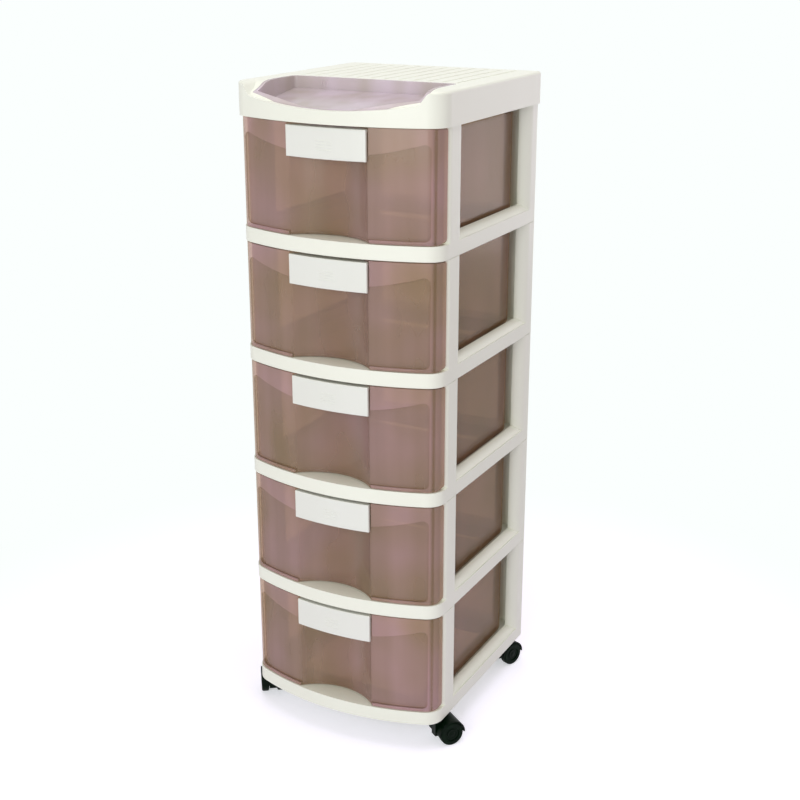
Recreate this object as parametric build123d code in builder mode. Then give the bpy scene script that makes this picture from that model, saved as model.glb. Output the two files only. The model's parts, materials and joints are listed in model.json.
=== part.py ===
from build123d import *
import math
import os

# A tower of equal moulded tiers on four twin-wheel casters. Each tier carries one
# translucent drawer with a cup handle, and a cover with a lift-out tray closes the top.
# Millimetres, +Z up, front at -Y, origin on the floor under the middle of the tower.

# Tower
LEVELS = 5
PITCH = 180.0
HALF_WIDTH = 162.0
DEPTH = 366.0
BOW_RADIUS = 394.0
CORNER_RADIUS = 30.0
REAR_CORNER_RADIUS = 8.0
CLEARANCE = 0.3
WALL = 3.0

# Tier frame
BAND = 22.0
BAND_EDGE = 1.5
FRONT_DECK = 60.0
REAR_DECK = 40.0
SIDE_LEDGE = 48.0
SIDE_WALL = 16.5
WINDOW_FLAT = 0.5
SILL = 8.4
POST_SETBACK = 0.0
FRONT_POST = 48.0
POST_ROUND = 10.0
REAR_POST = 39.0
REAR_RETURN = 53.0
REAR_WALL = 10.0
POCKET_DEPTH = 10.0
POCKET_MARGIN = 5.0
PEG_WIDTH = 8.0
PEG_LENGTH = 22.0
PEG_HEIGHT = 12.0
FRONT_PEG_SETBACK = 16.0

# Drawer
FRONT_INSET = 1.5
FRONT_GAP = 1.2
FRONT_LOW_CORNER = 8.0
FRONT_TOP_CORNER = 3.0
DRAWER_WALL = 2.5
SIDE_GAP = 5.5
BOX_TOP_GAP = 10.0
BOX_REAR_GAP = 18.0
BOX_CORNER = 28.0
BOX_EDGE = 8.0
SCOOP_HALF_WIDTH = 65.0
SCOOP_DEPTH = 32.0
RECESS = 3.5
RECESS_SIDE_MARGIN = 13.0
RECESS_LOW_MARGIN = 6.0
BROW_MIDDLE = 138.0
BROW_END = 161.0

# Handle
HANDLE_TOP_GAP = 4.0
HANDLE_HEIGHT = 43.0
HANDLE_END_GAP = 2.5
HANDLE_PROUD = 1.0
HANDLE_WALL = 4.0
HANDLE_EDGE = 1.2

# Top cover and tray
COVER_OVERHANG = 3.0
COVER_HEIGHT = 47.0
COVER_EDGE = 4.0
COVER_DECK = 4.0
COVER_SKIRT = 7.0
LIP_MIDDLE = 18.0
LIP_END = 28.5
LIP_END_X = 128.0
SHOULDER_X = 153.0
SHOULDER_START = 89.0
LIP_WALL = 8.0
DIP_NEAR = 24.0
DIP_FAR = 46.0
DIP_DROP = 9.0
TRAY_HALF_WIDTH = 133.0
TRAY_REAR = 225.0
TRAY_CORNER = 10.0
TRAY_RIM = 3.0
TRAY_WALL = 2.5
TRAY_REAR_DEPTH = 16.0
TRAY_FRONT_DEPTH = 35.0
GROOVE_COUNT = 12
GROOVE_SPACING = 23.0
GROOVE_WIDTH = 3.0
GROOVE_DEPTH = 1.2
GROOVE_END = 10.0

# Casters
WHEEL_RADIUS = 19.0
WHEEL_WIDTH = 11.9
WHEEL_EDGE = 2.5
HUB_RADIUS = 12.0
HUB_RECESS = 1.5
TREAD_GAP = 1.0
HOOD_WALL = 2.0
WEB_HALF = 6.2
WHEEL_SIDE_GAP = 0.4
AXLE_RADIUS = 3.0
AXLE_CHAMFER = 0.6
STEM_RADIUS = 4.0
STEM_DOME = 1.0
STEM_DEPTH = 15.0
STEM_BOSS = 9.0
COLLAR_RADIUS = 7.0
COLLAR = 3.4
SWIVEL_GAP = 0.6
RUNNING = 0.05
TRAIL = 17.0
NOSE = 6.5
FRONT_STEM_INSET = 11.5
FRONT_STEM_SETBACK = 59.0
FRONT_SWIVEL = 54.0
REAR_STEM_INSET = 26.0
REAR_STEM_SETBACK = 41.5
REAR_SWIVEL = 68.0

# Places that follow from the sizes above
front_y = -DEPTH / 2
rear_y = DEPTH / 2
bow_y = front_y + BOW_RADIUS
corner_x = HALF_WIDTH - CORNER_RADIUS
bow_angle = math.asin(corner_x / (BOW_RADIUS - CORNER_RADIUS))
corner_y = bow_y - (BOW_RADIUS - CORNER_RADIUS) * math.cos(bow_angle)
inner_x = HALF_WIDTH - SIDE_WALL
post_front_y = corner_y + POST_SETBACK
window_front_y = post_front_y + FRONT_POST
window_rear_y = rear_y - REAR_POST
window_round = SIDE_WALL - WINDOW_FLAT
deck_front_y = front_y + FRONT_DECK
deck_rear_y = rear_y - REAR_DECK
deck_side_x = HALF_WIDTH - SIDE_LEDGE
peg_x = HALF_WIDTH - SIDE_WALL / 2
peg_points = [
    (side * peg_x, y)
    for side in (-1, 1)
    for y in (post_front_y + FRONT_PEG_SETBACK, window_rear_y + REAR_POST / 2)
]

axle_z = WHEEL_RADIUS
hood_inner = WHEEL_RADIUS + TREAD_GAP
hood_outer = hood_inner + HOOD_WALL
base_z = axle_z + hood_outer + SWIVEL_GAP + COLLAR
top_z = base_z + LEVELS * PITCH

box_half = inner_x - SIDE_GAP
box_rear_y = rear_y - REAR_WALL - BOX_REAR_GAP
front_back_y = post_front_y - FRONT_GAP
scoop_rim_y = bow_y - math.sqrt((BOW_RADIUS - FRONT_INSET) ** 2 - SCOOP_HALF_WIDTH**2)
scoop_back_y = front_y + FRONT_INSET + SCOOP_DEPTH
scoop_rise = scoop_back_y - scoop_rim_y
scoop_radius = (SCOOP_HALF_WIDTH**2 + scoop_rise**2) / (2 * scoop_rise)
scoop_y = scoop_back_y - scoop_radius
tray_rear_y = rear_y - TRAY_REAR


def bowed_outline(grow, rear):
    """Plan of the tower grown outwards: bowed front, round front corners, flat sides."""
    bow = BOW_RADIUS + grow
    corner = CORNER_RADIUS + grow
    side_x = corner_x + corner
    bow_end = (bow * math.sin(bow_angle), bow_y - bow * math.cos(bow_angle))
    half_turn = (math.pi / 2 - bow_angle) / 2
    corner_mid = (
        corner_x + corner * math.cos(half_turn),
        corner_y - corner * math.sin(half_turn),
    )
    with BuildSketch() as outline:
        with BuildLine():
            ThreePointArc((-bow_end[0], bow_end[1]), (0, bow_y - bow), bow_end)
            ThreePointArc(bow_end, corner_mid, (side_x, corner_y))
            Polyline((side_x, corner_y), (side_x, rear), (-side_x, rear), (-side_x, corner_y))
            ThreePointArc(
                (-side_x, corner_y), (-corner_mid[0], corner_mid[1]), (-bow_end[0], bow_end[1])
            )
        make_face()
    return outline.sketch


def front_outline(grow, back):
    """The part of the plan that lies in front of a line across it."""
    with BuildSketch() as outline:
        add(bowed_outline(grow, rear_y))
        with Locations((0, back - DEPTH / 2)):
            Rectangle(3 * HALF_WIDTH, DEPTH, mode=Mode.INTERSECT)
    return outline.sketch


def tower_outline(grow):
    """The whole plan, with its small rear corners rounded."""
    with BuildSketch() as outline:
        add(bowed_outline(grow, rear_y + grow))
        fillet(outline.vertices().group_by(Axis.Y)[-1], REAR_CORNER_RADIUS + grow)
    return outline.sketch


def prism(outline, bottom, top):
    """An outline of the plan raised from one height to another."""
    with BuildPart() as solid:
        with BuildSketch(Plane.XY.offset(bottom)):
            add(outline)
        extrude(amount=top - bottom)
    return solid.part


def block(low, high):
    """A box between two corners."""
    with BuildPart() as solid:
        with Locations(tuple((low[i] + high[i]) / 2 for i in range(3))):
            Box(high[0] - low[0], high[1] - low[1], high[2] - low[2])
    return solid.part


def pair(low, high):
    """A box on the right side and its mirror image on the left."""
    with BuildPart() as solid:
        add(block(low, high))
        mirror(about=Plane.YZ)
    return solid.part


# ---------------------------------------------------------------- tier frame


def tier_ring():
    """Bowed band round the foot of a tier: a deck with a skirt, open in the middle."""
    with BuildPart() as ring:
        with BuildSketch():
            add(tower_outline(0))
        extrude(amount=BAND)
        fillet(ring.faces().sort_by(Axis.Z)[0].edges(), BAND_EDGE)
        add(
            block((-deck_side_x, deck_front_y, 0), (deck_side_x, deck_rear_y, BAND)),
            mode=Mode.SUBTRACT,
        )
        add(ring_underside(), mode=Mode.SUBTRACT)
    return ring.part


def ring_underside():
    """The hollow under the deck, between the outer skirt and the inner one."""
    with BuildPart() as hollow:
        add(prism(bowed_outline(-WALL, rear_y - WALL), 0, BAND - WALL))
        add(
            block(
                (-deck_side_x - WALL, deck_front_y - WALL, 0),
                (deck_side_x + WALL, deck_rear_y + WALL, BAND),
            ),
            mode=Mode.SUBTRACT,
        )
    return hollow.part


def tier_posts():
    """Corner posts and window sills standing on the ring."""
    with BuildPart() as posts:
        add(prism(tower_outline(0), BAND_EDGE, PITCH))
        add(block((-inner_x, front_y, 0), (inner_x, rear_y - REAR_WALL, PITCH)), mode=Mode.SUBTRACT)
        rear_x = HALF_WIDTH - REAR_RETURN
        add(block((-rear_x, 0, 0), (rear_x, rear_y, PITCH)), mode=Mode.SUBTRACT)
        add(
            block((-HALF_WIDTH, front_y, 0), (HALF_WIDTH, post_front_y, PITCH)),
            mode=Mode.SUBTRACT,
        )
        add(
            pair(
                (inner_x, window_front_y, BAND + SILL),
                (HALF_WIDTH, window_rear_y, PITCH),
            ),
            mode=Mode.SUBTRACT,
        )
        fillet(window_edges(posts), window_round)
        fillet(post_front_edges(posts), POST_ROUND)
    return posts.part


def window_edges(posts):
    """Outer edges of the side windows: two uprights and a sill on each side."""
    middle_y = (window_front_y + window_rear_y) / 2
    half_y = (window_rear_y - window_front_y) / 2
    edges = posts.edges().filter_by(GeomType.LINE)
    edges = edges.filter_by(lambda edge: abs(abs(edge.center().X) - HALF_WIDTH) < 0.01)
    edges = edges.filter_by(lambda edge: abs(edge.center().Y - middle_y) < half_y + 0.01)
    return edges.filter_by(lambda edge: BAND + SILL - 0.01 < edge.center().Z < PITCH - 0.01)


def post_front_edges(posts):
    """Outer upright edges of the front posts, beside the drawer front."""
    edges = posts.edges().filter_by(Axis.Z)
    edges = edges.filter_by(lambda edge: abs(abs(edge.center().X) - HALF_WIDTH) < 0.1)
    return edges.filter_by(lambda edge: abs(edge.center().Y - post_front_y) < 0.01)


def post_pockets():
    """Shallow hollows in the inner faces of the posts."""
    low = BAND + POCKET_MARGIN
    high = PITCH - POCKET_MARGIN
    with BuildPart() as pockets:
        add(
            pair(
                (inner_x, post_front_y + POCKET_MARGIN, low),
                (inner_x + POCKET_DEPTH, window_front_y - window_round, high),
            )
        )
        add(
            pair(
                (inner_x, window_rear_y + window_round, low),
                (inner_x + POCKET_DEPTH, rear_y - REAR_WALL, high),
            )
        )
    return pockets.part


def pegs(grow, bottom, top):
    """The four pegs that locate one tier on the next, grown by a clearance."""
    with BuildPart() as solid:
        with BuildSketch(Plane.XY.offset(bottom)):
            with Locations(peg_points):
                Rectangle(PEG_WIDTH + 2 * grow, PEG_LENGTH + 2 * grow)
        extrude(amount=top - bottom)
    return solid.part


def stem_points():
    """Name, stem centre and trail direction of each caster."""
    front_x = HALF_WIDTH - FRONT_STEM_INSET
    front_stem_y = front_y + FRONT_STEM_SETBACK
    rear_x = HALF_WIDTH - REAR_STEM_INSET
    rear_stem_y = rear_y - REAR_STEM_SETBACK
    return [
        ("front_right", front_x, front_stem_y, FRONT_SWIVEL),
        ("front_left", -front_x, front_stem_y, 180 - FRONT_SWIVEL),
        ("rear_right", rear_x, rear_stem_y, REAR_SWIVEL),
        ("rear_left", -rear_x, rear_stem_y, 180 - REAR_SWIVEL),
    ]


def stem_holes(radius, bottom, top):
    """A cylinder on each caster's stem line."""
    with BuildPart() as solid:
        with BuildSketch(Plane.XY.offset(bottom)):
            with Locations([(x, y) for _, x, y, _ in stem_points()]):
                Circle(radius)
        extrude(amount=top - bottom)
    return solid.part


def tier_frame(lowest):
    """One tier: its lowest one takes the caster stems, the others take pegs from below."""
    with BuildPart() as frame:
        add(tier_ring())
        add(tier_posts())
        add(post_pockets(), mode=Mode.SUBTRACT)
        add(pegs(-CLEARANCE, PITCH, PITCH + PEG_HEIGHT - CLEARANCE))
        if lowest:
            add(stem_bosses())
            add(stem_holes(STEM_RADIUS + RUNNING, 0, STEM_DEPTH + CLEARANCE), mode=Mode.SUBTRACT)
        else:
            add(pegs(WALL - CLEARANCE, BAND_EDGE, BAND))
            add(pegs(0, 0, PEG_HEIGHT), mode=Mode.SUBTRACT)
    return frame.part


def stem_bosses():
    """Round bosses under the deck of the lowest tier, kept inside its outline."""
    with BuildPart() as bosses:
        add(stem_holes(STEM_BOSS, 0, BAND))
        add(prism(tower_outline(-BAND_EDGE), 0, BAND), mode=Mode.INTERSECT)
    return bosses.part


# ---------------------------------------------------------------- drawer and handle


def box_body(inset, bottom, top, edge):
    """The drawer's box behind its front, inset from the outer faces."""
    half = box_half - inset
    rear = box_rear_y - inset
    front = front_back_y - DRAWER_WALL
    with BuildPart() as body:
        with BuildSketch(Plane.XY.offset(bottom)) as outline:
            with Locations((0, (front + rear) / 2)):
                Rectangle(2 * half, rear - front)
            fillet(outline.vertices().group_by(Axis.Y)[-1], BOX_CORNER - inset)
        extrude(amount=top - bottom)
        floor_edges = body.faces().sort_by(Axis.Z)[0].edges()
        fillet(floor_edges.filter_by(lambda item: item.center().Y > front + 1), edge)
    return body.part


def drawer_front():
    """The full-width front block, with rounded corners seen from the front."""
    low = BAND + 1.0
    high = PITCH - FRONT_INSET
    with BuildPart() as front:
        add(prism(front_outline(-FRONT_INSET, front_back_y), low, high))
        with BuildSketch(Plane.XZ.offset(-front_back_y)) as face:
            with Locations((0, (low + high) / 2)):
                Rectangle(2 * (HALF_WIDTH - FRONT_INSET), high - low)
            fillet(face.vertices().group_by(Axis.Y)[0], FRONT_LOW_CORNER)
            fillet(face.vertices().group_by(Axis.Y)[-1], FRONT_TOP_CORNER)
        extrude(amount=DEPTH, mode=Mode.INTERSECT)
    return front.part


def scoop(grow):
    """Upright cylinder that hollows the middle of the drawer front."""
    with BuildSketch() as circle:
        with Locations((0, scoop_y)):
            Circle(scoop_radius + grow)
    return prism(circle.sketch, 0, PITCH)


def front_recess():
    """Shallow recess in the drawer front, below an arched brow."""
    half = HALF_WIDTH - FRONT_INSET - RECESS_SIDE_MARGIN
    low = BAND + RECESS_LOW_MARGIN
    with BuildPart() as recess:
        with BuildSketch(Plane.XZ.offset(-front_back_y)) as face:
            with BuildLine():
                Polyline((-half, BROW_END), (-half, low), (half, low), (half, BROW_END))
                ThreePointArc((half, BROW_END), (0, BROW_MIDDLE), (-half, BROW_END))
            make_face()
            fillet(face.vertices(), FRONT_LOW_CORNER)
        extrude(amount=DEPTH)
        add(
            prism(bowed_outline(-FRONT_INSET - RECESS, rear_y), 0, PITCH),
            mode=Mode.SUBTRACT,
        )
    return recess.part


def drawer_cavity():
    """The open space inside the drawer, round the back of the scoop."""
    floor = BAND + CLEARANCE + DRAWER_WALL
    inset = FRONT_INSET + RECESS + DRAWER_WALL
    with BuildPart() as cavity:
        add(prism(front_outline(-inset, front_back_y - DRAWER_WALL), floor + 1.0, PITCH))
        add(box_body(DRAWER_WALL, floor, PITCH, BOX_EDGE - DRAWER_WALL))
        add(scoop(DRAWER_WALL), mode=Mode.SUBTRACT)
    return cavity.part


def drawer_part():
    """A translucent drawer: bowed front with a scoop, and a box with rounded corners."""
    with BuildPart() as drawer:
        add(drawer_front())
        add(box_body(0, BAND + CLEARANCE, PITCH - BOX_TOP_GAP, BOX_EDGE))
        add(front_recess(), mode=Mode.SUBTRACT)
        add(drawer_cavity(), mode=Mode.SUBTRACT)
        add(scoop(0), mode=Mode.SUBTRACT)
    return drawer.part


def handle_part():
    """Cup handle that bridges the scoop: a bowed front wall and a top, open below."""
    high = PITCH - HANDLE_TOP_GAP
    low = high - HANDLE_HEIGHT
    half = SCOOP_HALF_WIDTH - HANDLE_END_GAP
    with BuildPart() as handle:
        with BuildSketch(Plane.XY.offset(low)):
            add(bowed_outline(HANDLE_PROUD, rear_y))
            with Locations((0, scoop_y)):
                Circle(scoop_radius - CLEARANCE, mode=Mode.INTERSECT)
            with Locations((0, front_y)):
                Rectangle(2 * half, DEPTH, mode=Mode.INTERSECT)
        extrude(amount=HANDLE_HEIGHT)
        fillet(handle.faces().sort_by(Axis.Y)[0].edges().filter_by(GeomType.CIRCLE), HANDLE_EDGE)
        add(
            prism(bowed_outline(HANDLE_PROUD - HANDLE_WALL, rear_y), low, high - HANDLE_WALL),
            mode=Mode.SUBTRACT,
        )
    return handle.part


# ---------------------------------------------------------------- top cover and tray


def dip():
    """Everything above the cover's surface where it falls towards the front lip."""
    high = COVER_HEIGHT + PITCH
    wide = HALF_WIDTH + 2 * COVER_OVERHANG
    with BuildPart() as cut:
        with BuildSketch(Plane.XZ.offset(-rear_y - 2 * COVER_OVERHANG)):
            with BuildLine():
                ThreePointArc((-LIP_END_X, LIP_END), (0, LIP_MIDDLE), (LIP_END_X, LIP_END))
                Spline(
                    (LIP_END_X, LIP_END),
                    (SHOULDER_X, COVER_HEIGHT),
                    tangents=((1, 0.17), (1, 0)),
                )
                Polyline(
                    (SHOULDER_X, COVER_HEIGHT),
                    (wide, COVER_HEIGHT),
                    (wide, high),
                    (-wide, high),
                    (-wide, COVER_HEIGHT),
                    (-SHOULDER_X, COVER_HEIGHT),
                )
                Spline(
                    (-SHOULDER_X, COVER_HEIGHT),
                    (-LIP_END_X, LIP_END),
                    tangents=((1, 0), (1, -0.17)),
                )
            make_face()
        extrude(amount=DEPTH + 4 * COVER_OVERHANG)
        with BuildSketch(Plane.YZ.offset(-wide)):
            shoulder_y = front_y + SHOULDER_START
            lip_y = front_y + LIP_WALL
            with BuildLine():
                Spline(
                    (lip_y, 0),
                    (front_y + DIP_NEAR, LIP_END),
                    (front_y + DIP_FAR, COVER_HEIGHT - DIP_DROP),
                    (shoulder_y, COVER_HEIGHT),
                    tangents=((1, 3), (1, 0)),
                )
                Polyline(
                    (shoulder_y, COVER_HEIGHT),
                    (rear_y + 2 * COVER_OVERHANG, COVER_HEIGHT),
                    (rear_y + 2 * COVER_OVERHANG, high),
                    (front_y - 2 * COVER_OVERHANG, high),
                    (front_y - 2 * COVER_OVERHANG, 0),
                    (lip_y, 0),
                )
            make_face()
        extrude(amount=2 * wide, mode=Mode.INTERSECT)
    return cut.part


def tray_outline(inset):
    """Plan of the tray's well: straight at the back and sides, bowed at the front."""
    half = TRAY_HALF_WIDTH - inset
    rear = tray_rear_y - inset
    with BuildSketch() as outline:
        add(bowed_outline(-LIP_WALL - inset, rear))
        with Locations((0, rear - DEPTH / 2)):
            Rectangle(2 * half, DEPTH, mode=Mode.INTERSECT)
        fillet(outline.vertices().group_by(Axis.Y)[-1], TRAY_CORNER - inset)
    return outline.sketch


def cover_hollow():
    """The space under the deck, behind and beside the tray."""
    half = HALF_WIDTH + COVER_OVERHANG - COVER_SKIRT
    high = COVER_HEIGHT - COVER_DECK
    with BuildPart() as hollow:
        add(block((-half, tray_rear_y + WALL, 0), (half, rear_y - WALL, high)))
        add(
            pair(
                (TRAY_HALF_WIDTH + WALL, front_y + SHOULDER_START, 0),
                (half, tray_rear_y + WALL, high),
            )
        )
    return hollow.part


def deck_grooves():
    """Long shallow grooves in the deck behind the tray."""
    middle = (tray_rear_y + rear_y) / 2
    length = rear_y - tray_rear_y - 2 * GROOVE_END
    with BuildPart() as grooves:
        with BuildSketch(Plane.XY.offset(COVER_HEIGHT - GROOVE_DEPTH)):
            with Locations((0, middle)):
                with GridLocations(GROOVE_SPACING, 1, GROOVE_COUNT, 1):
                    SlotOverall(length, GROOVE_WIDTH, rotation=90)
        extrude(amount=GROOVE_DEPTH)
    return grooves.part


def cover_part():
    """The cover: deck, skirt, raised shoulders and a lip that dips in the middle."""
    with BuildPart() as cover:
        with BuildSketch():
            add(tower_outline(COVER_OVERHANG))
        extrude(amount=COVER_HEIGHT)
        fillet(cover.faces().sort_by(Axis.Z)[-1].edges(), COVER_EDGE)
        add(dip(), mode=Mode.SUBTRACT)
        add(cover_hollow(), mode=Mode.SUBTRACT)
        add(pegs(WALL, 0, COVER_HEIGHT - COVER_DECK))
        add(pegs(0, 0, PEG_HEIGHT), mode=Mode.SUBTRACT)
        add(tray_rebate(), mode=Mode.SUBTRACT)
        add(prism(tray_outline(TRAY_RIM), 0, COVER_HEIGHT), mode=Mode.SUBTRACT)
        add(deck_grooves(), mode=Mode.SUBTRACT)
    return cover.part


def tray_rebate():
    """The step round the well that the tray's rim sits on."""
    with BuildPart() as rebate:
        add(prism(tray_outline(0), 0, COVER_HEIGHT))
        add(dip().moved(Location((0, 0, -TRAY_WALL))), mode=Mode.INTERSECT)
    return rebate.part


def tray_slope(lift):
    """Everything above the tray's sloping floor, raised by lift."""
    half = HALF_WIDTH
    with BuildPart() as slope:
        with BuildSketch(Plane.YZ.offset(-half)):
            with BuildLine():
                Polyline(
                    (front_y, COVER_HEIGHT - TRAY_FRONT_DEPTH - TRAY_WALL + lift),
                    (tray_rear_y, COVER_HEIGHT - TRAY_REAR_DEPTH - TRAY_WALL + lift),
                    (tray_rear_y, 2 * COVER_HEIGHT),
                    (front_y, 2 * COVER_HEIGHT),
                    close=True,
                )
            make_face()
        extrude(amount=2 * half)
    return slope.part


def tray_part():
    """Shallow lift-out tray with a rim that follows the cover's surface."""
    with BuildPart() as tray:
        add(prism(tray_outline(CLEARANCE), 0, COVER_HEIGHT))
        add(dip().moved(Location((0, 0, CLEARANCE - TRAY_WALL))), mode=Mode.INTERSECT)
        with BuildPart(mode=Mode.PRIVATE) as well:
            add(prism(tray_outline(TRAY_RIM + CLEARANCE), 0, COVER_HEIGHT))
            add(tray_slope(0), mode=Mode.INTERSECT)
        add(well.part)
        with BuildPart(mode=Mode.PRIVATE) as space:
            add(prism(tray_outline(TRAY_RIM + CLEARANCE + TRAY_WALL), 0, COVER_HEIGHT))
            add(tray_slope(TRAY_WALL), mode=Mode.INTERSECT)
        add(space.part, mode=Mode.SUBTRACT)
        add(dip(), mode=Mode.SUBTRACT)
    return tray.part


# ---------------------------------------------------------------- casters
# Each caster is drawn with its axle along X, its trail along +Y and its stem at the origin.


def stem_part():
    """Steel stem with a collar that carries the tier, pressed up into its boss."""
    with BuildPart() as stem:
        with BuildSketch(Plane.XY.offset(axle_z)):
            Circle(STEM_RADIUS)
        extrude(amount=base_z + STEM_DEPTH - axle_z)
        with BuildSketch(Plane.XY.offset(base_z - COLLAR)):
            Circle(COLLAR_RADIUS)
        extrude(amount=COLLAR)
        fillet(stem.edges().sort_by(Axis.Z)[-1], STEM_DOME)
    return stem.part


def housing_part():
    """Hooded housing: a web between the wheels, a hood over them and a nose for the stem."""
    half = WEB_HALF + WHEEL_SIDE_GAP + WHEEL_WIDTH
    top = axle_z + hood_outer
    nose_low = axle_z - STEM_RADIUS
    with BuildPart() as housing:
        with BuildSketch(Plane.YZ.offset(-half)):
            with Locations((TRAIL, axle_z)):
                Circle(hood_outer)
                Circle(hood_inner, mode=Mode.SUBTRACT)
            with Locations((TRAIL, axle_z + hood_outer)):
                Rectangle(2 * hood_outer, 2 * hood_outer, mode=Mode.INTERSECT)
        extrude(amount=2 * half)
        with BuildSketch(Plane.YZ.offset(-WEB_HALF)):
            with Locations((TRAIL, axle_z)):
                Circle(hood_outer)
            with Locations((TRAIL, axle_z + hood_outer)):
                Rectangle(2 * hood_outer, 2 * hood_outer, mode=Mode.INTERSECT)
            with Locations((TRAIL, axle_z)):
                Circle(2 * AXLE_RADIUS)
            with Locations((0, (nose_low + top) / 2)):
                Rectangle(2 * NOSE, top - nose_low)
        extrude(amount=2 * WEB_HALF)
        with BuildSketch(Plane.XY.offset(axle_z - RUNNING)):
            Circle(STEM_RADIUS + RUNNING)
        extrude(amount=hood_outer + RUNNING, mode=Mode.SUBTRACT)
        with BuildSketch(Plane.YZ.offset(-half)):
            with Locations((TRAIL, axle_z)):
                Circle(AXLE_RADIUS + RUNNING)
        extrude(amount=2 * half, mode=Mode.SUBTRACT)
    return housing.part


def axle_part():
    """Steel pin through the web and both wheels."""
    half = WEB_HALF + WHEEL_SIDE_GAP + WHEEL_WIDTH - HUB_RECESS
    with BuildPart() as axle:
        with BuildSketch(Plane.YZ.offset(-half)):
            with Locations((TRAIL, axle_z)):
                Circle(AXLE_RADIUS)
        extrude(amount=2 * half)
        chamfer(axle.edges().filter_by(GeomType.CIRCLE), AXLE_CHAMFER)
    return axle.part


def wheel_part(side):
    """Wheel with a recessed hub face, on the right side (1) or the left side (-1)."""
    start = side * (WEB_HALF + WHEEL_SIDE_GAP)
    with BuildPart() as wheel:
        with BuildSketch(Plane.YZ.offset(start)):
            with Locations((TRAIL, axle_z)):
                Circle(WHEEL_RADIUS)
        extrude(amount=side * WHEEL_WIDTH)
        fillet(wheel.edges().filter_by(GeomType.CIRCLE), WHEEL_EDGE)
        with BuildSketch(Plane.YZ.offset(start + side * WHEEL_WIDTH)):
            with Locations((TRAIL, axle_z)):
                Circle(HUB_RADIUS)
        extrude(amount=-side * HUB_RECESS, mode=Mode.SUBTRACT)
        with BuildSketch(Plane.YZ.offset(start)):
            with Locations((TRAIL, axle_z)):
                Circle(AXLE_RADIUS + RUNNING)
        extrude(amount=side * WHEEL_WIDTH, mode=Mode.SUBTRACT)
    return wheel.part


# ---------------------------------------------------------------- assembly


def export_piece(solid, name, place):
    """Put a finished piece in its place and write it under its own name."""
    with BuildPart() as piece:
        add(solid.moved(place))
    piece.part.label = name
    export_step(piece.part, f"parts/{name}.step")


def export_tiers():
    """Frames, drawers and handles, numbered from the top down."""
    upper_frame = tier_frame(lowest=False)
    lowest_frame = tier_frame(lowest=True)
    drawer = drawer_part()
    handle = handle_part()
    for number in range(1, LEVELS + 1):
        place = Location((0, 0, top_z - number * PITCH))
        frame = lowest_frame if number == LEVELS else upper_frame
        export_piece(frame, f"tier_frame_{number}", place)
        export_piece(drawer, f"drawer_{number}", place)
        export_piece(handle, f"handle_{number}", place)


def export_casters():
    """The pieces of each caster, turned about its stem."""
    pieces = {
        "stem": stem_part(),
        "housing": housing_part(),
        "axle": axle_part(),
        "wheel_right": wheel_part(1),
        "wheel_left": wheel_part(-1),
    }
    for corner, x, y, trail_angle in stem_points():
        place = Location((x, y, 0), (0, 0, trail_angle - 90))
        for piece_name, solid in pieces.items():
            export_piece(solid, f"caster_{corner}_{piece_name}", place)


os.makedirs("parts", exist_ok=True)
export_tiers()
export_piece(cover_part(), "top_cover", Location((0, 0, top_z)))
export_piece(tray_part(), "top_tray", Location((0, 0, top_z)))
export_casters()
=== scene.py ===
"""Looks of the plastic drawer tower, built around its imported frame. Metres, +Z up, front at -Y."""

import json
import math

import bmesh
import bpy
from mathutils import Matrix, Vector
from mathutils.bvhtree import BVHTree


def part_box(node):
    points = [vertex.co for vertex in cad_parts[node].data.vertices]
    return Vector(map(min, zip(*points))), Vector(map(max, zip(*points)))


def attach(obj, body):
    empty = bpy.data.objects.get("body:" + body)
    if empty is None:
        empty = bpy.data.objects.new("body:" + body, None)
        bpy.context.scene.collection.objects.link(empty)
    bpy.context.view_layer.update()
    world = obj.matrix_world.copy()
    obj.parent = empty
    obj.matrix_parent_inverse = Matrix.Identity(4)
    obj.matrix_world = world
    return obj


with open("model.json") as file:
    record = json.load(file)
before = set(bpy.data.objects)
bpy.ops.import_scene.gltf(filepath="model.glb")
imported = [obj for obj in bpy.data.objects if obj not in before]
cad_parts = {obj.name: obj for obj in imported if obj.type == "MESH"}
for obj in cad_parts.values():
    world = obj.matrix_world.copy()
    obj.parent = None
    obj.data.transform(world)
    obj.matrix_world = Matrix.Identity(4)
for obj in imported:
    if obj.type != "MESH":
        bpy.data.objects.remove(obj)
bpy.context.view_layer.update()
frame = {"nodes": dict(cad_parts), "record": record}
nodes = frame["nodes"]

LEVELS = 5
CORNERS = ("front_right", "front_left", "rear_right", "rear_left")

# Camera, solved from the photograph's perspective
LENS_MM = 61.13
SENSOR_MM = 36.0
CAMERA_PLACE = (0.9519, -1.7636, 1.1840)
CAMERA_AZIMUTH = 27.857
CAMERA_ELEVATION = 18.863
CLIP_END = 100.0

# Colours, linear
CREAM = (0.86, 0.90, 0.79, 1.0)
CREAM_SHADE = (0.84, 0.87, 0.76, 1.0)
PALE = (0.79, 0.82, 0.76, 1.0)
PALE_SHADE = (0.76, 0.79, 0.72, 1.0)
# Drawer colours by depth behind the front: painted shade deep inside, painted light on the outer
# margin
SMOKE_DEEP_PAINTED_SHADE = (0.370, 0.240, 0.150, 1.0)
SMOKE_PANEL = (0.610, 0.450, 0.400, 1.0)
SMOKE_EDGE = (0.330, 0.245, 0.150, 1.0)
SMOKE_MARGIN_PAINTED_LIGHT = (0.760, 0.540, 0.540, 1.0)
SMOKE_CLEAR = (0.800, 0.690, 0.590, 1.0)
STREAK_DARK = (0.78, 0.79, 0.66, 1.0)
# Broad random patches on the drawers: painted olive shade and painted mauve reflection
OLIVE_PAINTED_SHADE = (0.86, 0.87, 0.68, 1.0)
MAUVE_PAINTED_REFLECTION = (1.12, 1.06, 1.24, 1.0)
WHITE = (1.0, 1.0, 1.0, 1.0)
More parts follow.
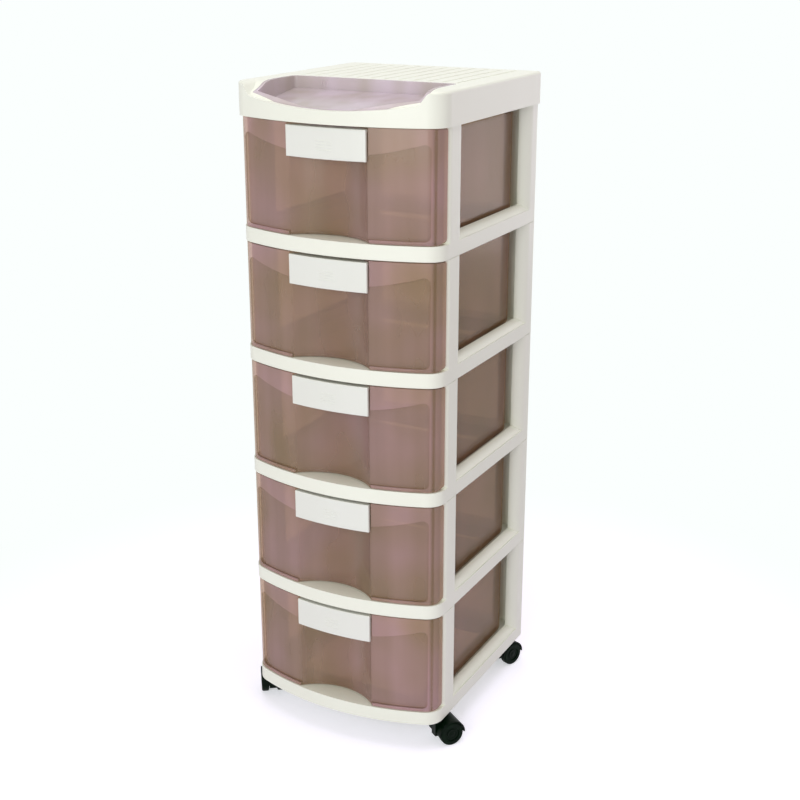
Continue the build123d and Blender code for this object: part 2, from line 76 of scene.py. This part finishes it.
# The tray's paler mauve: the smoky plastic with painted light from above and from the cream cover
# beneath
TRAY_MAUVE_PAINTED_LIGHT = (0.850, 0.765, 0.850, 1.0)
TRAY_MAUVE_CLEAR_PAINTED_LIGHT = (0.900, 0.830, 0.870, 1.0)
BLACK_GREEN = (0.001, 0.006, 0.002, 1.0)
BLACK_GREEN_SHADE = (0.001, 0.005, 0.002, 1.0)
SCUFFED = (0.004, 0.014, 0.006, 1.0)
STEEL = (0.60, 0.61, 0.62, 1.0)
FLOOR = (0.80, 0.77, 0.92, 1.0)
BACKDROP = (0.965, 1.0, 0.99, 1.0)

# Finish: index of refraction, how little the black parts shine, and roughness ranges
PLASTIC_IOR = 1.49
BLACK_SPECULAR = 0.07
MOULDED_ROUGHNESS_SPREAD = 0.06
SMOKY_ROUGHNESS = (0.16, 0.30)
STEEL_ROUGHNESS = (0.22, 0.42)
WHEEL_ROUGHNESS = (0.30, 0.55)

# The front's bow, as in the CAD, and the drawers' colours by distance from its axis: painted shade
# on all that lies deeper behind the front, painted light on the outer margin, and a thin darker line
# between the front panel and the margin
BOW_RADIUS = 0.394
FRONT_Y = -0.183
BOW_AXIS_Y = FRONT_Y + BOW_RADIUS
DEPTH_COLOURS_PAINTED_SHADE_AND_LIGHT = (
    (0.3500, SMOKE_DEEP_PAINTED_SHADE),
    (0.3740, SMOKE_PANEL),
    (0.3888, SMOKE_PANEL),
    (0.3902, SMOKE_EDGE),
    (0.3918, SMOKE_MARGIN_PAINTED_LIGHT),
)

# Added detail, in metres: a bead's size is its half width and its height
GRIP_ROWS = 4
GRIP_POINTS = 12
GRIP_PITCH = 0.0042
GRIP_DROP = 0.003
GRIP_HALF_LENGTH = 0.013
GRIP_SIZE = (0.0008, 0.0005)
BEAD_HEIGHT = 0.0036
BEAD_HALF_LENGTH = 0.140
BEAD_SIZE = (0.0008, 0.0006)
BEAD_POINTS = 81
TRAY_RIB_PLACES = (-0.082, -0.075)
TRAY_RIB_DEPTHS = (0.0135, 0.004)
TRAY_RIB_SIZE = (0.0013, 0.0014)
TRAY_RIB_POINTS = 8

# A wheel cap's (radius, height) pairs, from its rim to its middle
CAP_PROFILE = (
    (0.0088, -0.0002),
    (0.0088, 0.0007),
    (0.0082, 0.0011),
    (0.0070, 0.0009),
    (0.0062, 0.0006),
    (0.0046, 0.0007),
    (0.0030, 0.0011),
    (0.0008, 0.0013),
)

# Where rays start, and how beads and turned forms are built
CAP_RAY_RISE = 0.008
RAY_START = 0.05
TRAY_RAY_START = 0.03
END_TAPER = 0.35
BEAD_SINK = 0.0006
BEAD_STEPS = 6
LATHE_SIDES = 40
SHARP_ANGLE = math.radians(50)

# Stage and light: each lamp has a name, a place, a size, a power in watts and a colour
FLOOR_SIZE = 40.0
FLOOR_LIFT = 0.50
SHADOW_REACH = (0.32, 0.95)
WORLD_LIGHT = (1.0, 0.87, 0.82, 1.0)
WORLD_STRENGTH = 0.45
LAMP_AIM = (0, 0, 0.5)
LAMPS = (
    ("front_softbox", (0.4, -3.0, 1.3), 1.8, 45.0, (0.95, 1.0, 0.97)),
    ("top_softbox", (0.2, 0.0, 3.0), 2.0, 28.0, (0.96, 0.95, 1.0)),
    ("rear_fill", (0.9, 2.4, 0.9), 1.5, 9.0, (0.95, 0.90, 1.0)),
)


# ---------------------------------------------------------------- materials


class Shader:
    """A material's node tree, with short calls for the nodes it needs."""

    def __init__(self, name):
        self.material = bpy.data.materials.new(name)
        self.material.use_nodes = True
        self.tree = self.material.node_tree
        self.tree.nodes.clear()
        self.output = self.add("ShaderNodeOutputMaterial")

    def add(self, kind, **settings):
        node = self.tree.nodes.new(kind)
        for key, value in settings.items():
            setattr(node, key, value)
        return node

    def link(self, source, target):
        self.tree.links.new(source, target)

    def noise(self, scale, detail, stretch=(1.0, 1.0, 1.0)):
        """Noise in object space: its factor output."""
        place = self.add("ShaderNodeTexCoord")
        mapping = self.add("ShaderNodeMapping")
        mapping.inputs["Scale"].default_value = stretch
        texture = self.add("ShaderNodeTexNoise")
        texture.inputs["Scale"].default_value = scale
        texture.inputs["Detail"].default_value = detail
        self.link(place.outputs["Object"], mapping.inputs["Vector"])
        self.link(mapping.outputs["Vector"], texture.inputs["Vector"])
        return texture.outputs["Fac"]

    def ramp(self, factor, low, high, start, end):
        """Two colours spread over a factor."""
        node = self.add("ShaderNodeValToRGB")
        node.color_ramp.elements[0].position = start
        node.color_ramp.elements[0].color = low
        node.color_ramp.elements[1].position = end
        node.color_ramp.elements[1].color = high
        self.link(factor, node.inputs["Fac"])
        return node.outputs["Color"]

    def spread(self, factor, low, high):
        """A factor mapped to a range of values."""
        node = self.add("ShaderNodeMapRange")
        node.inputs["To Min"].default_value = low
        node.inputs["To Max"].default_value = high
        self.link(factor, node.inputs["Value"])
        return node.outputs["Result"]

    def bump(self, factor, distance, strength=1.0):
        node = self.add("ShaderNodeBump")
        node.inputs["Distance"].default_value = distance
        node.inputs["Strength"].default_value = strength
        self.link(factor, node.inputs["Height"])
        return node.outputs["Normal"]

    def times(self, first, second):
        """Two colours multiplied."""
        node = self.add("ShaderNodeMix", data_type="RGBA", blend_type="MULTIPLY")
        node.inputs["Factor"].default_value = 1.0
        self.link(first, node.inputs[6])
        self.link(second, node.inputs[7])
        return node.outputs[2]

    def by_bow_radius(self, stops):
        """A colour by a point's distance from the front's bow axis: (radius, colour) stops."""
        place = self.add("ShaderNodeTexCoord")
        flat = self.add("ShaderNodeVectorMath", operation="MULTIPLY")
        flat.inputs[1].default_value = (1.0, 1.0, 0.0)
        self.link(place.outputs["Object"], flat.inputs[0])
        reach = self.add("ShaderNodeVectorMath", operation="DISTANCE")
        reach.inputs[1].default_value = (0.0, BOW_AXIS_Y, 0.0)
        self.link(flat.outputs["Vector"], reach.inputs[0])
        first = stops[0][0]
        last = stops[-1][0]
        share = self.add("ShaderNodeMapRange")
        share.inputs["From Min"].default_value = first
        share.inputs["From Max"].default_value = last
        self.link(reach.outputs["Value"], share.inputs["Value"])
        node = self.add("ShaderNodeValToRGB")
        while len(node.color_ramp.elements) < len(stops):
            node.color_ramp.elements.new(0.5)
        for element, (radius, colour) in zip(node.color_ramp.elements, stops):
            element.position = (radius - first) / (last - first)
            element.color = colour
        self.link(share.outputs["Result"], node.inputs["Fac"])
        return node.outputs["Color"]

    def principled(self, **sockets):
        node = self.add("ShaderNodeBsdfPrincipled")
        for key, value in sockets.items():
            node.inputs[key.replace("_", " ")].default_value = value
        return node


def moulded(name, colour, shade, roughness, grain, coat=0.0, specular=0.5):
    """Opaque moulded plastic: faint flow marks in the colour and a fine satin grain."""
    shader = Shader(name)
    body = shader.principled(
        IOR=PLASTIC_IOR, Coat_Weight=coat, Coat_Roughness=0.25, Specular_IOR_Level=specular
    )
    flow = shader.noise(5.0, 3.0, (1.0, 1.0, 0.4))
    shader.link(shader.ramp(flow, shade, colour, 0.25, 0.6), body.inputs["Base Color"])
    fine = shader.noise(900.0, 2.0)
    low = roughness - MOULDED_ROUGHNESS_SPREAD
    high = roughness + MOULDED_ROUGHNESS_SPREAD
    shader.link(shader.spread(fine, low, high), body.inputs["Roughness"])
    shader.link(shader.bump(fine, grain), body.inputs["Normal"])
    shader.link(body.outputs["BSDF"], shader.output.inputs["Surface"])
    return shader.material


def smoky(name, clear, through_colour, colour=WHITE, stops=None):
    """Smoky translucent plastic: part of the light passes straight through, tinted.

    Soft streaks run down it. With stops, its colour changes with depth behind the bowed front:
    painted shade further in, painted light on the outer margin.
    Broad patches of painted olive shade and painted mauve reflection lie over it.
    """
    shader = Shader(name)
    body = shader.principled(IOR=PLASTIC_IOR, Coat_Weight=0.3, Coat_Roughness=0.06)
    streaks = shader.noise(24.0, 1.0, (1.0, 1.0, 0.04))
    dark = [one * other for one, other in zip(colour, STREAK_DARK)]
    tint = shader.ramp(streaks, dark, colour, 0.3, 0.7)
    if stops:
        # Painted olive shade and painted mauve reflection in broad random patches
        painted_shade_and_reflection = shader.ramp(shader.noise(6.5, 2.0), OLIVE_PAINTED_SHADE, MAUVE_PAINTED_REFLECTION, 0.34, 0.66)
        tint = shader.times(shader.by_bow_radius(stops), shader.times(tint, painted_shade_and_reflection))
    shader.link(tint, body.inputs["Base Color"])
    fine = shader.noise(160.0, 3.0, (1.0, 1.0, 0.3))
    shader.link(shader.spread(fine, *SMOKY_ROUGHNESS), body.inputs["Roughness"])
    shader.link(shader.bump(shader.noise(5.0, 0.0), 0.0012, 0.5), body.inputs["Normal"])
    through = shader.add("ShaderNodeBsdfTransparent")
    through.inputs["Color"].default_value = through_colour
    mix = shader.add("ShaderNodeMixShader")
    mix.inputs["Fac"].default_value = 1.0 - clear
    shader.link(through.outputs["BSDF"], mix.inputs[1])
    shader.link(body.outputs["BSDF"], mix.inputs[2])
    shader.link(mix.outputs["Shader"], shader.output.inputs["Surface"])
    return shader.material


def metal(name):
    """Zinc-plated steel with fine turning marks."""
    shader = Shader(name)
    body = shader.principled(Base_Color=STEEL, Metallic=1.0)
    marks = shader.noise(400.0, 2.0, (1.0, 1.0, 8.0))
    shader.link(shader.spread(marks, *STEEL_ROUGHNESS), body.inputs["Roughness"])
    shader.link(body.outputs["BSDF"], shader.output.inputs["Surface"])
    return shader.material


def rubbery(name):
    """Black wheel plastic with a green cast, scuffed on the tread."""
    shader = Shader(name)
    body = shader.principled(IOR=1.5, Specular_IOR_Level=BLACK_SPECULAR)
    scuff = shader.noise(90.0, 4.0)
    shader.link(shader.ramp(scuff, BLACK_GREEN, SCUFFED, 0.4, 0.8), body.inputs["Base Color"])
    shader.link(shader.spread(scuff, *WHEEL_ROUGHNESS), body.inputs["Roughness"])
    shader.link(shader.bump(scuff, 0.0002), body.inputs["Normal"])
    shader.link(body.outputs["BSDF"], shader.output.inputs["Surface"])
    return shader.material


MATERIALS = {
    "frame_plastic": moulded(
        "cream_moulded_plastic", CREAM, CREAM_SHADE, roughness=0.42, grain=0.00004, coat=0.1
    ),
    "smoky_plastic": smoky(
        "smoky_translucent_plastic", clear=0.58, through_colour=SMOKE_CLEAR, stops=DEPTH_COLOURS_PAINTED_SHADE_AND_LIGHT
    ),
    "handle_plastic": moulded(
        "pale_smooth_plastic", PALE, PALE_SHADE, roughness=0.3, grain=0.00002, coat=0.3
    ),
    "caster_plastic": moulded(
        "black_moulded_plastic",
        BLACK_GREEN,
        BLACK_GREEN_SHADE,
        roughness=0.34,
        grain=0.00003,
        specular=BLACK_SPECULAR,
    ),
    "wheel_plastic": rubbery("black_wheel_plastic"),
    "steel": metal("zinc_plated_steel"),
}
# The tray: a paler smoky plastic, its paleness painted light
TRAY_PAINTED_LIGHT_PLASTIC = smoky(
    "mauve_translucent_plastic_painted_light", clear=0.35, through_colour=TRAY_MAUVE_CLEAR_PAINTED_LIGHT, colour=TRAY_MAUVE_PAINTED_LIGHT
)


def dress_nodes():
    """Each carried-over node gets the material of its record slot, the tray a paler one with painted
    light.
    """
    slots = {item["node"]: item["material_slot"] for item in frame["record"]["subparts"]}
    for name, piece in nodes.items():
        material = TRAY_PAINTED_LIGHT_PLASTIC if name == "top_tray" else MATERIALS[slots[name]]
        if not piece.data.materials:
            piece.data.materials.append(material)
        for index in range(len(piece.data.materials)):
            piece.data.materials[index] = material


# ---------------------------------------------------------------- added detail


def surface_of(node):
    """A node's mesh as a tree that rays can be cast on."""
    mesh = nodes[node].data
    points = [vertex.co.copy() for vertex in mesh.vertices]
    return BVHTree.FromPolygons(points, [tuple(face.vertices) for face in mesh.polygons])


def cast(surface, origins, direction):
    """Where rays in one direction meet a surface, with the normals facing the rays."""
    found = []
    for origin in origins:
        point, normal, _, _ = surface.ray_cast(Vector(origin), Vector(direction))
        if point is None:
            continue
        if normal.dot(Vector(direction)) > 0:
            normal = -normal
        found.append((point, normal))
    return found


def bead(path, half_width, proud):
    """Vertices and faces of a half-round bead that lies along a path on a surface.

    Each ring has the points of its half circle, then two corners sunk below the surface.
    """
    vertices = []
    count = len(path)
    ring = BEAD_STEPS + 3
    for index, (point, normal) in enumerate(path):
        before = path[max(index - 1, 0)][0]
        after = path[min(index + 1, count - 1)][0]
        side = (after - before).normalized().cross(normal).normalized()
        taper = END_TAPER if index in (0, count - 1) else 1.0
        for step in range(BEAD_STEPS + 1):
            angle = math.pi * step / BEAD_STEPS
            across = side * (half_width * taper * math.cos(angle))
            vertices.append(point + across + normal * (proud * taper * math.sin(angle)))
        vertices.append(point - side * (half_width * taper) - normal * BEAD_SINK)
        vertices.append(point + side * (half_width * taper) - normal * BEAD_SINK)
    faces = [list(range(ring)), list(range(ring * (count - 1), ring * count))[::-1]]
    for index in range(count - 1):
        for step in range(ring):
            one = index * ring + step
            two = index * ring + (step + 1) % ring
            faces.append([one, one + ring, two + ring, two])
    return vertices, faces


def lathe(profile, place, axis):
    """Vertices and faces of a turned form: (radius, height) pairs about an axis."""
    axis = Vector(axis).normalized()
    across = axis.orthogonal().normalized()
    along = axis.cross(across)
    vertices = []
    for radius, height in profile:
        for side in range(LATHE_SIDES):
            angle = 2.0 * math.pi * side / LATHE_SIDES
            spoke = across * math.cos(angle) + along * math.sin(angle)
            vertices.append(Vector(place) + axis * height + spoke * radius)
    last = len(vertices) - LATHE_SIDES
    faces = [list(range(LATHE_SIDES))[::-1], list(range(last, len(vertices)))]
    for row in range(len(profile) - 1):
        for side in range(LATHE_SIDES):
            one = row * LATHE_SIDES + side
            two = row * LATHE_SIDES + (side + 1) % LATHE_SIDES
            faces.append([one, two, two + LATHE_SIDES, one + LATHE_SIDES])
    return vertices, faces


def make_piece(name, shapes, body, slot, material=None):
    """One named object from several (vertices, faces) shapes, riding on a body."""
    vertices = []
    faces = []
    for points, polygons in shapes:
        start = len(vertices)
        vertices += points
        faces += [[start + index for index in polygon] for polygon in polygons]
    mesh = bpy.data.meshes.new(name)
    mesh.from_pydata(vertices, [], faces)
    mesh.validate()
    mesh.materials.append(material or MATERIALS[slot])
    build = bmesh.new()
    build.from_mesh(mesh)
    bmesh.ops.recalc_face_normals(build, faces=build.faces)
    build.to_mesh(mesh)
    build.free()
    mesh.shade_smooth()
    mesh.set_sharp_from_angle(angle=SHARP_ANGLE)
    piece = bpy.data.objects.new(name, mesh)
    bpy.context.scene.collection.objects.link(piece)
    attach(piece, body)


def span(low, high, count):
    """Evenly spaced numbers from low to high."""
    return [low + (high - low) * index / (count - 1) for index in range(count)]


def handle_grips(level):
    """Plain grip ribs in the middle of a handle."""
    node = f"handle_{level}"
    low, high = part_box(node)
    surface = surface_of(node)
    middle = (low[2] + high[2]) / 2 - GRIP_DROP
    ribs = []
    for row in range(GRIP_ROWS):
        z = middle + (row - (GRIP_ROWS - 1) / 2) * GRIP_PITCH
        places = span(-GRIP_HALF_LENGTH, GRIP_HALF_LENGTH, GRIP_POINTS)
        origins = [(x, low[1] - RAY_START, z) for x in places]
        ribs.append(bead(cast(surface, origins, (0, 1, 0)), *GRIP_SIZE))
    make_piece(f"handle_{level}_grips", ribs, f"drawer_{level}", "handle_plastic")


def drawer_bead(level):
    """The thin bead along a drawer front's lower edge, which follows the scoop."""
    node = f"drawer_{level}"
    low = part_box(node)[0]
    z = low[2] + BEAD_HEIGHT
    places = span(-BEAD_HALF_LENGTH, BEAD_HALF_LENGTH, BEAD_POINTS)
    origins = [(x, low[1] - RAY_START, z) for x in places]
    shape = bead(cast(surface_of(node), origins, (0, 1, 0)), *BEAD_SIZE)
    make_piece(f"drawer_{level}_bead", [shape], f"drawer_{level}", "smoky_plastic")


def tray_ribs():
    """The pair of small upright ribs on the tray's rear wall."""
    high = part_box("top_tray")[1]
    foot, head = (high[2] - depth for depth in TRAY_RIB_DEPTHS)
    heights = span(foot, head, TRAY_RIB_POINTS)
    surface = surface_of("top_tray")
    ribs = []
    for x in TRAY_RIB_PLACES:
        origins = [(x, high[1] - TRAY_RAY_START, z) for z in heights]
        ribs.append(bead(cast(surface, origins, (0, 1, 0)), *TRAY_RIB_SIZE))
    make_piece("top_tray_ribs", ribs, "tray", "smoky_plastic", TRAY_PAINTED_LIGHT_PLASTIC)


def middle_of(node):
    """The middle of a node's box."""
    low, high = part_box(node)
    return (Vector(low) + Vector(high)) / 2


def hub_caps():
    """A domed cap in the outer face of each wheel."""
    for corner in CORNERS:
        right = middle_of(f"caster_{corner}_wheel_right")
        left = middle_of(f"caster_{corner}_wheel_left")
        for side, place, out in (("right", right, right - left), ("left", left, left - right)):
            out = out.normalized()
            node = f"caster_{corner}_wheel_{side}"
            start = place + out * RAY_START + Vector((0, 0, CAP_RAY_RISE))
            point = cast(surface_of(node), [start], -out)[0][0]
            face = place + out * (point - place).dot(out)
            make_piece(f"{node}_cap", [lathe(CAP_PROFILE, face, out)], node, "caster_plastic")


# ---------------------------------------------------------------- stage, light, camera


def seen_rays(tree):
    """One for rays that show the backdrop: straight to the camera, or by gloss or glass."""
    path = tree.nodes.new("ShaderNodeLightPath")
    total = path.outputs["Is Camera Ray"]
    for name in ("Is Glossy Ray", "Is Transmission Ray"):
        node = tree.nodes.new("ShaderNodeMath")
        node.operation = "MAXIMUM"
        tree.links.new(total, node.inputs[0])
        tree.links.new(path.outputs[name], node.inputs[1])
        total = node.outputs["Value"]
    return total


def make_stage():
    """Floor that takes the shadow and fades to the pale backdrop away from the tower."""
    bpy.ops.mesh.primitive_plane_add(size=FLOOR_SIZE, location=(0, 0, 0))
    floor = bpy.context.object
    floor.name = "stage_floor"
    shader = Shader("pale_floor")
    seen = seen_rays(shader.tree)
    body = shader.principled(Base_Color=FLOOR, Roughness=0.9, Specular_IOR_Level=0.1)
    lift = shader.add("ShaderNodeEmission")
    lift.inputs["Color"].default_value = BACKDROP
    weak = shader.add("ShaderNodeMath", operation="MULTIPLY")
    weak.inputs[1].default_value = FLOOR_LIFT
    shader.link(seen, weak.inputs[0])
    shader.link(weak.outputs["Value"], lift.inputs["Strength"])
    near = shader.add("ShaderNodeAddShader")
    shader.link(body.outputs["BSDF"], near.inputs[0])
    shader.link(lift.outputs["Emission"], near.inputs[1])
    far = shader.add("ShaderNodeEmission")
    far.inputs["Color"].default_value = BACKDROP
    place = shader.add("ShaderNodeTexCoord")
    reach = shader.add("ShaderNodeVectorMath", operation="LENGTH")
    shader.link(place.outputs["Object"], reach.inputs[0])
    fade = shader.add("ShaderNodeMapRange", interpolation_type="SMOOTHSTEP")
    fade.inputs["From Min"].default_value = SHADOW_REACH[0]
    fade.inputs["From Max"].default_value = SHADOW_REACH[1]
    shader.link(reach.outputs["Value"], fade.inputs["Value"])
    both = shader.add("ShaderNodeMath", operation="MULTIPLY")
    shader.link(fade.outputs["Result"], both.inputs[0])
    shader.link(seen, both.inputs[1])
    mix = shader.add("ShaderNodeMixShader")
    shader.link(both.outputs["Value"], mix.inputs["Fac"])
    shader.link(near.outputs["Shader"], mix.inputs[1])
    shader.link(far.outputs["Emission"], mix.inputs[2])
    shader.link(mix.outputs["Shader"], shader.output.inputs["Surface"])
    floor.data.materials.append(shader.material)


def make_world():
    """Soft light from all round, and the pale backdrop for rays that show it."""
    world = bpy.data.worlds.new("soft_studio")
    bpy.context.scene.world = world
    world.use_nodes = True
    tree = world.node_tree
    tree.nodes.clear()
    output = tree.nodes.new("ShaderNodeOutputWorld")
    light = tree.nodes.new("ShaderNodeBackground")
    light.inputs["Color"].default_value = WORLD_LIGHT
    light.inputs["Strength"].default_value = WORLD_STRENGTH
    backdrop = tree.nodes.new("ShaderNodeBackground")
    backdrop.inputs["Color"].default_value = BACKDROP
    mix = tree.nodes.new("ShaderNodeMixShader")
    tree.links.new(seen_rays(tree), mix.inputs["Fac"])
    tree.links.new(light.outputs["Background"], mix.inputs[1])
    tree.links.new(backdrop.outputs["Background"], mix.inputs[2])
    tree.links.new(mix.outputs["Shader"], output.inputs["Surface"])


def area_light(name, place, size, power, colour):
    """A square softbox aimed at the middle of the tower."""
    data = bpy.data.lights.new(name, "AREA")
    data.shape = "RECTANGLE"
    data.size = size
    data.size_y = size
    data.energy = power
    data.color = colour
    lamp = bpy.data.objects.new(name, data)
    lamp.location = place
    direction = Vector(LAMP_AIM) - Vector(place)
    lamp.rotation_euler = direction.to_track_quat("-Z", "Y").to_euler()
    bpy.context.scene.collection.objects.link(lamp)


def make_camera():
    """The camera at the photograph's place, with no shift and no depth of field."""
    data = bpy.data.cameras.new("photo_camera")
    data.lens = LENS_MM
    data.sensor_width = SENSOR_MM
    data.clip_end = CLIP_END
    camera = bpy.data.objects.new("photo_camera", data)
    camera.location = CAMERA_PLACE
    camera.rotation_euler = (
        math.radians(90 - CAMERA_ELEVATION),
        0.0,
        math.radians(CAMERA_AZIMUTH),
    )
    bpy.context.scene.collection.objects.link(camera)
    bpy.context.scene.camera = camera


dress_nodes()
for level in range(1, LEVELS + 1):
    handle_grips(level)
    drawer_bead(level)
tray_ribs()
hub_caps()
make_stage()
make_world()
for lamp in LAMPS:
    area_light(*lamp)
make_camera()
bpy.context.scene.view_settings.view_transform = "Standard"
